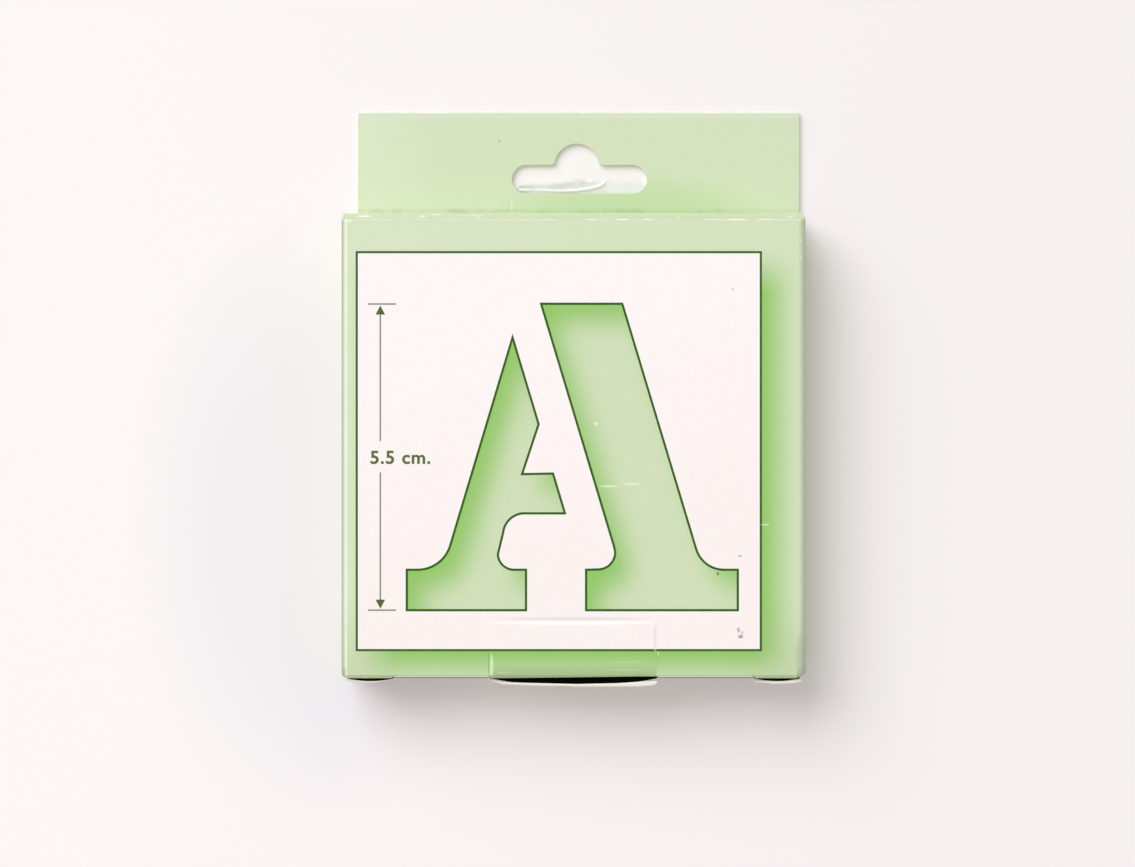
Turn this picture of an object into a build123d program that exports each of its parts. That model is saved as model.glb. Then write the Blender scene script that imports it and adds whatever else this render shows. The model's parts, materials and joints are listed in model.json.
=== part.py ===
"""A boxed set of card lettering stencils: a hanging folding carton lying on its back, with 27 letter cards.

Units are millimetres. +X is right and +Y is up on the carton's printed front, which faces +Z.
The origin is the centre of the carton body's back face, which lies on the table.
"""
from build123d import *
import os
from math import cos, radians, sin

# Board of the carton and its folds
board = 0.4
front_crease_radius = 1.0
back_crease_radius = 0.8
edge_setback = 0.1
crease_gap = 0.05
quarter_turn = 90

# Letters cut through the cards
letter_height = 55.0
thick_stroke = 13.6
thin_stroke = 8.2
slab = 7.2
serif_reach = 4.6
bracket_radius = 3.6
narrow_thick = 11.2
narrow_thin = 6.8
beak_width = 6.0
beak_drop = 17.0
bridge = 6.0
tilde_gap = 3.6
tilde_width = 22.0
tilde_thickness = 5.2
tilde_wave = 2.6

# Letter cards, and their play inside the carton
card = 0.35
card_gap = 0.02
card_side_margin = 3.2
card_end_margin = 11.3
card_corner_radius = 1.5
card_stagger = 0.12
card_turn_step = 137.5
card_side_gap = 1.8
card_top_gap = 1.35
card_bottom_gap = 2.35
stack_headroom = 2.01

# Hanging header, two layers of board folded over at its top
header_height = 19.4
header_left_inset = 2.1
header_right_inset = 0.2
slot_width = 24.8
slot_height = 5.3
slot_centre_x = 1.1
slot_above_body = 4.4
dome_radius = 4.1
dome_centre_x = 0.6
dome_rise = 3.9
dome_neck_fillet = 0.8

# Top end: lid, the crease rolled over its front edge, and the tuck behind the front panel
lid_roll_radius = 1.15
lid_side_gap = 0.3
tuck_length = 8.0
tuck_flap_gap = 0.7
tuck_corner_radius = 3.0
tuck_lean = 8.0
tuck_front_gap = 0.1

# Flaps folded inwards from the side panels at both ends
flap_inset = 0.4
flap_root_rise = 0.5
flap_taper_share = 0.66
flap_nose_drop = 0.7
flap_corner_radius = 1.0
flap_front_gap = 0.9
top_flap_length = 9.0
bottom_flap_length = 8.7

# Bottom end: closing panel with its tongue, and the two lugs folded in from the front panel
closing_side_gap = 0.1
closing_flat_rise = 0.4
closing_shoulder_drop = 1.7
closing_corner_gap = 0.1
centre_bow = 1.5
corner_bow = 0.45
flat_bow_share = 0.02
tongue_half_width = 15.0
tongue_reach = 10.15
tongue_tip_taper = 1.4
tongue_corner_radius = 2.0
tongue_lean = 6.0
tongue_front_gap = 0.4
lug_tongue_gap = 0.3
lug_flap_gap = 0.7
lug_length = 6.0
lug_taper = 1.2
lug_corner_radius = 1.5
lug_lean = 14.0
lug_cut_margin = 0.3
lug_edge_gap = 0.1

# Width of each letter as a share of the letter height
letter_width_shares = {
    "a": 1.08, "b": 0.88, "c": 0.90, "d": 0.92, "e": 0.84, "f": 0.80, "g": 0.96,
    "h": 1.04, "i": 0.42, "j": 0.80, "k": 1.02, "l": 0.80, "m": 1.24, "n": 1.08,
    "n_tilde": 1.08, "o": 0.98, "p": 0.86, "q": 0.98, "r": 0.96, "s": 0.80, "t": 0.92,
    "u": 1.02, "v": 1.10, "w": 1.32, "x": 1.06, "y": 1.06, "z": 0.84,
}

# Cards, which hold the widest letter, and the stack that they make
bead = board / 2
back_top = 2 * board
card_width = max(letter_width_shares.values()) * letter_height + 2 * card_side_margin
card_length = letter_height + 2 * card_end_margin
stack_height = len(letter_width_shares) * (card + card_gap)
stack_centre_y = (card_bottom_gap - card_top_gap) / 2

# Carton round the stack: outside width, height and depth over its folded board
half_width = card_width / 2 + card_side_gap + board
half_height = (card_length + card_top_gap + card_bottom_gap) / 2 + flap_inset + 2 * board
front_inner = back_top + stack_height + stack_headroom
carton_depth = front_inner + board

# Places that follow from the sizes above
wall_x = half_width - bead
lid_y = half_height - bead
lid_axis_z = back_top + crease_gap + bead
roll_y = half_height - lid_roll_radius
tuck_top = front_inner - tuck_front_gap
roll_z = tuck_top - lid_roll_radius
tuck_axis_z = tuck_top - board
tuck_half_width = wall_x - top_flap_length - tuck_flap_gap
closing_y = -(half_height - bead)
closing_axis_z = board + bead
flap_plane_y = half_height - board - flap_inset - bead
flap_edge_y = flap_plane_y - bead - crease_gap
flap_high = front_inner - flap_front_gap
bottom_edge_y = -(half_height - edge_setback)
lug_axis_y = bottom_edge_y + bead
lug_axis_z = carton_depth - bead
lug_edge_y = lug_axis_y + bead + lug_edge_gap
lug_inner_x = tongue_half_width + lug_tongue_gap
lug_outer_x = wall_x - bottom_flap_length - lug_flap_gap
lug_cut_inner = lug_inner_x - lug_cut_margin
lug_cut_outer = lug_outer_x + lug_cut_margin
header_left_x = -(half_width - header_left_inset)
header_right_x = half_width - header_right_inset
header_fold_y = half_height + header_height - board
slot_centre_y = half_height + slot_above_body + slot_height / 2
dome_centre_y = slot_centre_y + slot_height / 2 + dome_rise - dome_radius
closing_half = half_width - front_crease_radius - closing_side_gap
shoulder_z = front_inner + edge_setback - closing_shoulder_drop
corner_top = front_inner - closing_corner_gap
tongue_top = front_inner - tongue_front_gap
tongue_axis_y = -(half_height - board)
tongue_axis_z = tongue_top - board
centre_top = tongue_axis_z - crease_gap
half_letter = letter_height / 2

# Outline of the letter A, in shares of the letter height about its centre.
# A pair is a corner; three pairs in one entry are an arc's first, middle and last point.
a_left_shares = [
    [(-0.195, 0.390)],
    [(-0.110, 0.107)],
    [(-0.164, -0.056)],
    [(-0.063, -0.054)],
    [(-0.024, -0.184)],
    [(-0.165, -0.184), (-0.208, -0.207), (-0.226, -0.248)],
    [(-0.243, -0.318), (-0.230, -0.350), (-0.188, -0.368)],
    [(-0.151, -0.368)],
    [(-0.151, -0.500)],
    [(-0.540, -0.500)],
    [(-0.540, -0.368)],
    [(-0.507, -0.368), (-0.437, -0.345), (-0.400, -0.294)],
]
a_right_shares = [
    [(-0.102, 0.500)],
    [(0.163, 0.500)],
    [(0.404, -0.300), (0.438, -0.349), (0.493, -0.368)],
    [(0.540, -0.368)],
    [(0.540, -0.500)],
    [(0.045, -0.500)],
    [(0.045, -0.368)],
    [(0.082, -0.367), (0.122, -0.352), (0.140, -0.310)],
    [(0.135, -0.288)],
]


def block(x0, y0, x1, y1, mode=Mode.ADD):
    """A level rectangle between two opposite corners."""
    with Locations(((x0 + x1) / 2, (y0 + y1) / 2)):
        Rectangle(abs(x1 - x0), abs(y1 - y0), mode=mode)


def quarter_ring(x, y, outer, wall, start_angle):
    """A quarter of a ring about (x, y), which is board bent round a crease."""
    with BuildLine() as ring:
        outside = CenterArc((x, y), outer, start_angle, quarter_turn)
        inside = CenterArc((x, y), outer - wall, start_angle, quarter_turn)
        Line(outside @ 0, inside @ 0)
        Line(outside @ 1, inside @ 1)
    make_face(ring.edges())


def hang_slot():
    """The slot of the header: a long rounded hole with a domed peg notch above it."""
    with Locations((slot_centre_x, slot_centre_y)):
        SlotOverall(slot_width, slot_height)
    with Locations((dome_centre_x, dome_centre_y)):
        Circle(dome_radius)


def dome_neck(sketch):
    """The two inner corners where the dome meets the slot."""
    def near_dome(vertex):
        return abs(vertex.X - dome_centre_x) < dome_radius + edge_setback

    slot_top = slot_centre_y + slot_height / 2
    level = [v for v in sketch.vertices() if abs(v.Y - slot_top) < crease_gap]
    return ShapeList(v for v in level if near_dome(v))


def bracket(x, y, to_x, to_y):
    """The hollow curved corner between a stroke and its slab."""
    centre_x = x + to_x * bracket_radius
    centre_y = y + to_y * bracket_radius
    nearest = bracket_radius * cos(radians(quarter_turn / 2))
    middle = (centre_x - to_x * nearest, centre_y - to_y * nearest)
    with BuildLine() as corner:
        Polyline((centre_x, y), (x, y), (x, centre_y))
        ThreePointArc((x, centre_y), middle, (centre_x, y))
    make_face(corner.edges())


def flat_foot(x, width, end):
    """A slab serif across a stroke's end, bottom (-1) or top (1)."""
    inner = end * (half_letter - slab)
    block(x - width / 2 - serif_reach, inner, x + width / 2 + serif_reach, end * half_letter)


def foot(x, width, end):
    """A slab serif with a bracket on each side of an upright stroke."""
    flat_foot(x, width, end)
    for side in (-1, 1):
        bracket(x + side * width / 2, end * (half_letter - slab), side, -end)


def stem(x, width=thick_stroke, ends=(-1, 1)):
    """An upright stroke of full height with slab serifs at the named ends."""
    block(x - width / 2, -half_letter, x + width / 2, half_letter)
    for end in ends:
        foot(x, width, end)


def slant(x_low, x_high, width, low=-half_letter, high=half_letter, mode=Mode.ADD):
    """A leaning stroke with level ends, given by the middles of its ends."""
    half = width / 2
    corners = ((x_low - half, low), (x_low + half, low), (x_high + half, high), (x_high - half, high))
    Polygon(*corners, mode=mode)


def arm(root_x, tip_x, end):
    """A level arm along the bottom or top, with a beak at its tip."""
    inner = end * (half_letter - slab)
    toward = 1 if tip_x > root_x else -1
    block(root_x, inner, tip_x, end * half_letter)
    block(tip_x - toward * beak_width, end * (half_letter - beak_drop), tip_x, end * half_letter)
    bracket(tip_x - toward * beak_width, inner, -toward, -end)


def middle_arm(root_x, tip_x):
    """A level arm at mid height, with a short beak both ways."""
    toward = 1 if tip_x > root_x else -1
    block(root_x, -slab / 2, tip_x, slab / 2)
    block(tip_x - toward * beak_width, -slab, tip_x, slab)


def oval_ring(x, y, radius_x, radius_y, wall=thick_stroke):
    """An oval stroke, thick at the sides and as thin as a slab at the top and bottom."""
    with Locations((x, y)):
        Ellipse(radius_x, radius_y)
        Ellipse(radius_x - wall, radius_y - slab, mode=Mode.SUBTRACT)


def cut_column(x, width=bridge):
    """A bridge of card left standing from top to bottom."""
    block(x - width / 2, -letter_height, x + width / 2, letter_height, Mode.SUBTRACT)


def outline(shares):
    """A face from a list of corners and arcs in shares of the letter height."""
    points = [[(x * letter_height, y * letter_height) for x, y in entry] for entry in shares]
    with BuildLine() as edge:
        for entry, following in zip(points, points[1:] + points[:1]):
            if len(entry) > 1:
                ThreePointArc(*entry)
            if entry[-1] != following[0]:
                Line(entry[-1], following[0])
    make_face(edge.edges())


def letter_a(w):
    outline(a_left_shares)
    outline(a_right_shares)


def bowl_start(w):
    """Right side of the stem of a letter whose stem stands at its left."""
    return -w / 2 + serif_reach + thick_stroke


def left_stem(w, ends=(-1, 1)):
    stem(bowl_start(w) - thick_stroke / 2, ends=ends)


def bowls(w, ends):
    """Right-hand half ovals of the B, P and R."""
    x = bowl_start(w)
    radius_y = (half_letter + slab / 2) / 2
    for end in ends:
        oval_ring(x, end * (half_letter - radius_y), w / 2 - x, radius_y)
    block(-w, -half_letter, x, half_letter, Mode.SUBTRACT)


def letter_b(w):
    bowls(w, (-1, 1))
    left_stem(w)
    cut_column(bowl_start(w) + bridge / 2)


def letter_c(w):
    oval_ring(0, 0, w / 2, half_letter)
    mouth = half_letter - beak_drop
    block(w / 2 - thick_stroke - bridge / 2, -mouth, w / 2, mouth, Mode.SUBTRACT)
    cut_column(bridge / 2)


def letter_d(w):
    x = bowl_start(w)
    oval_ring(x, 0, w / 2 - x, half_letter)
    block(-w, -half_letter, x, half_letter, Mode.SUBTRACT)
    left_stem(w)
    cut_column(x + bridge / 2)


def letter_e(w):
    arm(bowl_start(w), w / 2, -1)
    arm(bowl_start(w), w / 2, 1)
    middle_arm(bowl_start(w), w / 2 - beak_width)
    left_stem(w)
    cut_column(bowl_start(w) + bridge / 2)


def letter_f(w):
    arm(bowl_start(w), w / 2, 1)
    middle_arm(bowl_start(w), w / 2 - beak_width)
    left_stem(w)
    cut_column(bowl_start(w) + bridge / 2)


def letter_g(w):
    letter_c(w)
    post_x = w / 2 - thick_stroke / 2
    block(post_x - thick_stroke / 2, -half_letter + slab, post_x + thick_stroke / 2, 0)
    block(post_x - thick_stroke / 2 - serif_reach, -slab, w / 2, 0)


def letter_h(w):
    block(-w / 2 + thick_stroke, -slab / 2, w / 2 - thick_stroke, slab / 2)
    cut_column(0)
    for side in (-1, 1):
        stem(side * (w / 2 - serif_reach - thick_stroke / 2))


def letter_i(w):
    stem(0)


def letter_j(w):
    right = w / 2 - serif_reach
    radius = (right + w / 2) / 2
    hook_x = right - radius
    oval_ring(hook_x, -half_letter + radius, radius, radius)
    block(-w, -half_letter + radius, w, half_letter, Mode.SUBTRACT)
    block(right - thick_stroke, -half_letter + radius, right, half_letter)
    foot(right - thick_stroke / 2, thick_stroke, 1)
    cut_column(hook_x)


def letter_k(w):
    tip = w / 2 - serif_reach
    slant(bowl_start(w), tip - thin_stroke / 2, thin_stroke, low=-slab, high=half_letter)
    slant(tip - thick_stroke / 2, 0, thick_stroke, low=-half_letter, high=slab)
    flat_foot(tip - thin_stroke / 2, thin_stroke, 1)
    flat_foot(tip - thick_stroke / 2, thick_stroke, -1)
    left_stem(w)
    cut_column(bowl_start(w) + bridge / 2)


def letter_l(w):
    arm(bowl_start(w), w / 2, -1)
    left_stem(w)
    cut_column(bowl_start(w) + bridge / 2)


def letter_m(w):
    left = -w / 2 + serif_reach + narrow_thin / 2
    right = w / 2 - serif_reach - narrow_thick / 2
    stem(left, narrow_thin)
    stem(right, narrow_thick)
    for x, width in ((left, narrow_thin), (right, narrow_thick)):
        edge = x - (width / 2 + bridge / 2) * (1 if x > 0 else -1)
        cut_column(edge)
    solid_vee(left + narrow_thin / 2 + bridge, right - narrow_thick / 2 - bridge)


def letter_n(w):
    left = -w / 2 + serif_reach + thin_stroke / 2
    right = w / 2 - serif_reach - thin_stroke / 2
    stem(left, thin_stroke, ends=(-1,))
    stem(right, thin_stroke, ends=(1,))
    slant(right, left, thick_stroke + 2 * bridge, mode=Mode.SUBTRACT)
    slant(right - thick_stroke / 2, left + thick_stroke / 2, thick_stroke)
    block(left - thin_stroke / 2 - serif_reach, half_letter - slab, left + thick_stroke / 2, half_letter)


def letter_n_tilde(w):
    letter_n(w)
    base = half_letter + tilde_gap
    quarter = tilde_width / 4
    with BuildLine() as wave:
        for level in (base, base + tilde_thickness):
            middle = level + tilde_wave / 2
            ThreePointArc((-tilde_width / 2, level), (-quarter, middle + tilde_wave), (0, middle))
            ThreePointArc((0, middle), (quarter, middle - tilde_wave), (tilde_width / 2, level + tilde_wave))
        Line((-tilde_width / 2, base), (-tilde_width / 2, base + tilde_thickness))
        end = base + tilde_wave
        Line((tilde_width / 2, end), (tilde_width / 2, end + tilde_thickness))
    make_face(wave.edges())


def letter_o(w):
    oval_ring(0, 0, w / 2, half_letter)
    cut_column(0)


def letter_p(w):
    bowls(w, (1,))
    left_stem(w)
    cut_column(bowl_start(w) + bridge / 2)


def letter_q(w):
    letter_o(w)
    tail_high = slab + bridge - half_letter
    tail_x = w / 2 - thick_stroke
    block(0, -half_letter, tail_x + thin_stroke / 2 + bridge, tail_high, Mode.SUBTRACT)
    slant(tail_x + thin_stroke / 2, bridge / 2 + thin_stroke, thick_stroke, high=tail_high)


def letter_r(w):
    bowls(w, (1,))
    leg = w / 2 - serif_reach - thick_stroke / 2
    slant(leg, bowl_start(w) + thick_stroke, thick_stroke, high=-slab / 2 - bridge / 2)
    flat_foot(leg, thick_stroke, -1)
    left_stem(w)
    cut_column(bowl_start(w) + bridge / 2)


def letter_s(w):
    radius_y = (half_letter + slab / 2) / 2
    offset = half_letter - radius_y
    for end in (-1, 1):
        with BuildSketch() as hook:
            oval_ring(0, end * offset, w / 2, radius_y)
            block(0, end * offset, end * w, -end * slab, Mode.SUBTRACT)
        add(hook.sketch_local)
    cut_column(0)


def letter_t(w):
    for side in (-1, 1):
        arm(0, side * w / 2, 1)
        cut_column(side * (thick_stroke + bridge) / 2)
    stem(0, ends=(-1,))


def letter_u(w):
    outer = w / 2 - serif_reach
    oval_ring(0, -half_letter + outer, outer, outer)
    block(-w, -half_letter + outer, w, letter_height, Mode.SUBTRACT)
    for side in (-1, 1):
        x = side * (outer - thick_stroke / 2)
        block(x - thick_stroke / 2, -half_letter + outer, x + thick_stroke / 2, half_letter)
        foot(x, thick_stroke, 1)
    cut_column(0)


def vee(low_x, left_x, right_x, low=-half_letter):
    """A thick stroke down to the right, and a thin one that stops a bridge short of it."""
    slant(low_x, right_x, thin_stroke, low=low)
    slant(low_x, left_x, thick_stroke + 2 * bridge, low=low, mode=Mode.SUBTRACT)
    slant(low_x, left_x, thick_stroke, low=low)
    flat_foot(left_x, thick_stroke, 1)
    flat_foot(right_x, thin_stroke, 1)


def solid_vee(left, right):
    """A narrow vee in one piece between two sides, for the M and the W."""
    low_x = (left + right + narrow_thick - narrow_thin) / 2
    slant(low_x - narrow_thin / 2, left + narrow_thick / 2, narrow_thick)
    slant(low_x - narrow_thick / 2, right - narrow_thin / 2, narrow_thin)


def letter_v(w):
    vee(0, -w / 2 + serif_reach + thick_stroke / 2, w / 2 - serif_reach - thin_stroke / 2)


def letter_w(w):
    solid_vee(-w / 2, -bridge / 2)
    solid_vee(bridge / 2, w / 2)


def letter_x(w):
    thin_end = w / 2 - serif_reach - thin_stroke / 2
    thick_end = w / 2 - serif_reach - thick_stroke / 2
    slant(-thin_end, thin_end, thin_stroke)
    slant(thick_end, -thick_end, thick_stroke + 2 * bridge, mode=Mode.SUBTRACT)
    slant(thick_end, -thick_end, thick_stroke)
    for end in (-1, 1):
        flat_foot(end * thin_end, thin_stroke, end)
        flat_foot(-end * thick_end, thick_stroke, end)


def letter_y(w):
    left = -w / 2 + serif_reach + thick_stroke / 2
    right = w / 2 - serif_reach - thin_stroke / 2
    fork = -slab / 2
    vee(0, left, right, low=fork)
    block(-thick_stroke / 2, -half_letter, thick_stroke / 2, fork - bridge)
    foot(0, thick_stroke, -1)


def letter_z(w):
    run = w / 2 - thick_stroke / 2
    slant(-run, run, thick_stroke)
    for end in (-1, 1):
        block(-w / 2, end * half_letter, w / 2, end * (half_letter - slab - bridge), Mode.SUBTRACT)
        arm(end * w / 2, -end * w / 2, end)


letter_makers = {
    "a": letter_a, "b": letter_b, "c": letter_c, "d": letter_d, "e": letter_e, "f": letter_f,
    "g": letter_g, "h": letter_h, "i": letter_i, "j": letter_j, "k": letter_k, "l": letter_l,
    "m": letter_m, "n": letter_n, "n_tilde": letter_n_tilde, "o": letter_o, "p": letter_p,
    "q": letter_q, "r": letter_r, "s": letter_s, "t": letter_t, "u": letter_u, "v": letter_v,
    "w": letter_w, "x": letter_x, "y": letter_y, "z": letter_z,
}


def save(part, name):
    """Label a finished piece and write its STEP file."""
    part.label = name
    export_step(part, f"parts/{name}.step")


os.makedirs("parts", exist_ok=True)

# Front panel: flat board between the side creases, notched where the two lugs hang from it
with BuildPart() as front_panel:
    with BuildSketch(Plane.XY.offset(front_inner)):
        flat_half = half_width - front_crease_radius
        block(-flat_half, bottom_edge_y, flat_half, roll_y)
        for side in (-1, 1):
            block(side * lug_cut_inner, bottom_edge_y, side * lug_cut_outer, lug_edge_y, Mode.SUBTRACT)
    extrude(amount=board)
save(front_panel.part, "front_panel")

# Side panels with their rounded creases. The right one carries on into the outer back panel,
# and the left one into the inner back panel, which lies one board higher.
for side, name, base_z in ((-1, "left_side_panel", board), (1, "right_side_panel", 0)):
    with BuildPart() as side_panel:
        with BuildSketch(Plane.XZ.offset(-roll_y)):
            front_x = side * (half_width - front_crease_radius)
            front_z = carton_depth - front_crease_radius
            back_x = side * (half_width - back_crease_radius)
            back_z = base_z + back_crease_radius
            front_start = 0 if side > 0 else quarter_turn
            back_start = -quarter_turn if side > 0 else 2 * quarter_turn
            quarter_ring(front_x, front_z, front_crease_radius, board, front_start)
            quarter_ring(back_x, back_z, back_crease_radius, board, back_start)
            block(side * (half_width - board), back_z, side * half_width, front_z)
        extrude(amount=roll_y - bottom_edge_y)
        for end in (-1, 1):
            with BuildSketch(Plane.XY.offset(lid_axis_z)):
                block(front_x, end * flap_edge_y, side * 2 * half_width, end * 2 * half_height)
            extrude(amount=flap_high + flap_root_rise / 2 - lid_axis_z, mode=Mode.SUBTRACT)
    save(side_panel.part, name)

# Inner back panel: it carries the lid at its top edge and the closing panel at its bottom edge
with BuildPart() as back_inner_panel:
    with BuildSketch(Plane.XY.offset(board)):
        flat_half = half_width - back_crease_radius
        block(-flat_half, closing_y + bead + crease_gap, flat_half - crease_gap, half_height)
    extrude(amount=board)
save(back_inner_panel.part, "back_inner_panel")

# Outer back panel, which runs on above the body as the back layer of the header
with BuildPart() as outer_back_panel:
    with BuildSketch():
        block(header_left_x, bottom_edge_y, half_width - back_crease_radius, half_height)
        block(header_left_x, half_height, header_right_x, header_fold_y)
        with BuildSketch(mode=Mode.SUBTRACT) as back_slot:
            hang_slot()
            fillet(dome_neck(back_slot), dome_neck_fillet)
    extrude(amount=board)
save(outer_back_panel.part, "outer_back_panel")

# Front layer of the header, with the rounded fold along its top
with BuildPart() as header_front_layer:
    with BuildSketch(Plane.XY.offset(board)):
        block(header_left_x, half_height + crease_gap, header_right_x, header_fold_y)
        with BuildSketch(mode=Mode.SUBTRACT) as front_slot:
            hang_slot()
            fillet(dome_neck(front_slot), dome_neck_fillet)
    extrude(amount=board)
    with BuildSketch(Plane.YZ.offset(header_left_x)):
        with Locations((header_fold_y, board)):
            Circle(board)
        block(header_fold_y - board, 0, header_fold_y, back_top, Mode.SUBTRACT)
    extrude(amount=header_right_x - header_left_x)
save(header_front_layer.part, "header_front_layer")

# Lid: it stands on its hinge bead and rolls over at its front edge towards the tuck
with BuildPart() as lid:
    with BuildSketch(Plane.YZ):
        with Locations((lid_y, lid_axis_z)):
            Circle(bead)
        block(lid_y - bead, lid_axis_z, half_height, roll_z)
        quarter_ring(roll_y, roll_z, lid_roll_radius, board, 0)
        with Locations((roll_y, tuck_axis_z)):
            Circle(bead + crease_gap, mode=Mode.SUBTRACT)
    extrude(amount=half_width - lid_side_gap, both=True)
save(lid.part, "lid")

# Tuck: it leans into the carton behind the front panel, and turns at the inner side of its crease
lean = radians(tuck_lean)
tuck_plane = Plane(origin=(0, roll_y, tuck_axis_z), x_dir=(1, 0, 0), z_dir=(0, -sin(lean), cos(lean)))
with BuildPart() as tuck_flap:
    with BuildSketch(tuck_plane) as tuck_outline:
        block(-tuck_half_width, -tuck_length, tuck_half_width, 0)
        tip = tuck_outline.vertices().group_by(Axis.Y)[0]
        fillet(tip, tuck_corner_radius)
    extrude(amount=board)
    with BuildSketch(Plane.YZ):
        with Locations((roll_y, tuck_axis_z)):
            Circle(bead)
    extrude(amount=tuck_half_width, both=True)
save(tuck_flap.part, "tuck_flap")

# Flaps folded in from the side panels, under the lid and under the closing panel.
# Their back edges taper so that the opening panel clears them.
end_flaps = (
    (-1, 1, "top_left_flap", top_flap_length, lid_axis_z),
    (1, 1, "top_right_flap", top_flap_length, lid_axis_z),
    (-1, -1, "bottom_left_flap", bottom_flap_length, closing_axis_z),
    (1, -1, "bottom_right_flap", bottom_flap_length, closing_axis_z),
)
for side, end, name, length, axis_z in end_flaps:
    flap_low = axis_z + flap_root_rise
    tip_x = side * (wall_x - length)
    with BuildPart() as end_flap:
        with BuildSketch(Plane.XZ.offset(-end * flap_plane_y)) as flap_outline:
            Polygon(
                (side * wall_x, flap_low),
                (tip_x, flap_low + flap_taper_share * length),
                (tip_x, flap_high - flap_nose_drop),
                (side * wall_x, flap_high),
            )
            tip = [v for v in flap_outline.vertices() if abs(v.X - tip_x) < crease_gap]
            fillet(tip, flap_corner_radius)
        extrude(amount=bead, both=True)
        with BuildSketch(Plane.XY.offset(flap_low)):
            with Locations((side * wall_x, end * flap_plane_y)):
                Circle(bead)
        extrude(amount=flap_high - flap_low)
    save(end_flap.part, name)


def closing_section(bow_share):
    """Level section of the closing panel, whose middle and corners bow outwards."""
    right_stops = (tongue_half_width, lug_cut_outer, closing_half)
    stops = tuple(-x for x in reversed(right_stops)) + right_stops
    bows = (corner_bow, 0, centre_bow, 0, corner_bow)
    with BuildLine() as section:
        for y in (-half_height, -half_height + board):
            for x0, x1, bow in zip(stops, stops[1:], bows):
                if bow:
                    ThreePointArc((x0, y), ((x0 + x1) / 2, y - bow * bow_share), (x1, y))
                else:
                    Line((x0, y), (x1, y))
        for x in (-closing_half, closing_half):
            Line((x, -half_height), (x, -half_height + board))
    make_face(section.edges())


# Closing panel: flat at its hinge and bowed at its front edge, with the shoulders under the lugs cut lower
with BuildPart() as closing_panel:
    with BuildSketch(Plane.XY.offset(closing_axis_z + closing_flat_rise)):
        closing_section(flat_bow_share)
    with BuildSketch(Plane.XY.offset(shoulder_z)):
        closing_section(1)
    loft(ruled=True)
    with BuildSketch(Plane.XY.offset(shoulder_z)):
        closing_section(1)
    extrude(amount=corner_top - shoulder_z)
    with BuildSketch(Plane.YZ):
        with Locations((closing_y, closing_axis_z)):
            Circle(bead)
        flat_top = closing_axis_z + closing_flat_rise + crease_gap
        block(closing_y - bead, closing_axis_z, closing_y + bead, flat_top)
    extrude(amount=closing_half, both=True)
    for side in (-1, 1):
        with BuildSketch(Plane.XY.offset(shoulder_z)):
            block(side * tongue_half_width, -2 * half_height, side * lug_cut_outer, 0)
        extrude(amount=carton_depth, mode=Mode.SUBTRACT)
    with BuildSketch(Plane.XY.offset(centre_top)):
        block(-tongue_half_width - crease_gap, -2 * half_height, tongue_half_width + crease_gap, 0)
    extrude(amount=carton_depth, mode=Mode.SUBTRACT)
    with BuildSketch(Plane.YZ):
        with Locations((tongue_axis_y, tongue_axis_z)):
            Circle(bead + crease_gap)
    extrude(amount=tongue_half_width + crease_gap, both=True, mode=Mode.SUBTRACT)
save(closing_panel.part, "closing_panel")

# Tongue: its bowed root caps the closing panel's middle, and its blade slips behind the front panel
lean = radians(tongue_lean)
tongue_root = (0, tongue_axis_y, tongue_axis_z)
tongue_plane = Plane(origin=tongue_root, x_dir=(1, 0, 0), z_dir=(0, sin(lean), cos(lean)))
with BuildPart() as tongue:
    with BuildSketch(Plane.XY.offset(tongue_axis_z)):
        with BuildLine():
            ThreePointArc(
                (-tongue_half_width, -half_height),
                (0, -half_height - centre_bow),
                (tongue_half_width, -half_height),
            )
            Polyline(
                (tongue_half_width, -half_height),
                (tongue_half_width, tongue_axis_y),
                (-tongue_half_width, tongue_axis_y),
                (-tongue_half_width, -half_height),
            )
        make_face()
    extrude(amount=board)
    with BuildSketch(tongue_plane) as blade:
        tip_half = tongue_half_width - tongue_tip_taper
        Polygon(
            (-tongue_half_width, 0),
            (tongue_half_width, 0),
            (tip_half, tongue_reach),
            (-tip_half, tongue_reach),
        )
        tip = blade.vertices().group_by(Axis.Y)[-1]
        fillet(tip, tongue_corner_radius)
    extrude(amount=board)
    with BuildSketch(Plane.YZ):
        with Locations((tongue_axis_y, tongue_axis_z)):
            Circle(bead)
    extrude(amount=tongue_half_width, both=True)
save(tongue.part, "tongue")

# Lugs: they hang from the front panel's bottom edge and lean inwards past the closing panel
lean = radians(lug_lean)
for side, name in ((-1, "left_lug"), (1, "right_lug")):
    lug_plane = Plane(origin=(0, lug_axis_y, lug_axis_z), x_dir=(1, 0, 0), z_dir=(0, cos(lean), sin(lean)))
    with BuildPart() as lug:
        with BuildSketch(lug_plane) as lug_outline:
            Polygon(
                (side * lug_inner_x, 0),
                (side * lug_outer_x, 0),
                (side * (lug_outer_x - lug_taper), lug_length),
                (side * (lug_inner_x + lug_taper), lug_length),
            )
            fillet(lug_outline.vertices().group_by(Axis.Y)[-1], lug_corner_radius)
        extrude(amount=bead, both=True)
        with BuildSketch(Plane.YZ.offset(side * lug_inner_x)):
            with Locations((lug_axis_y, lug_axis_z)):
                Circle(bead)
        extrude(amount=side * (lug_outer_x - lug_inner_x))
    save(lug.part, name)

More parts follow.
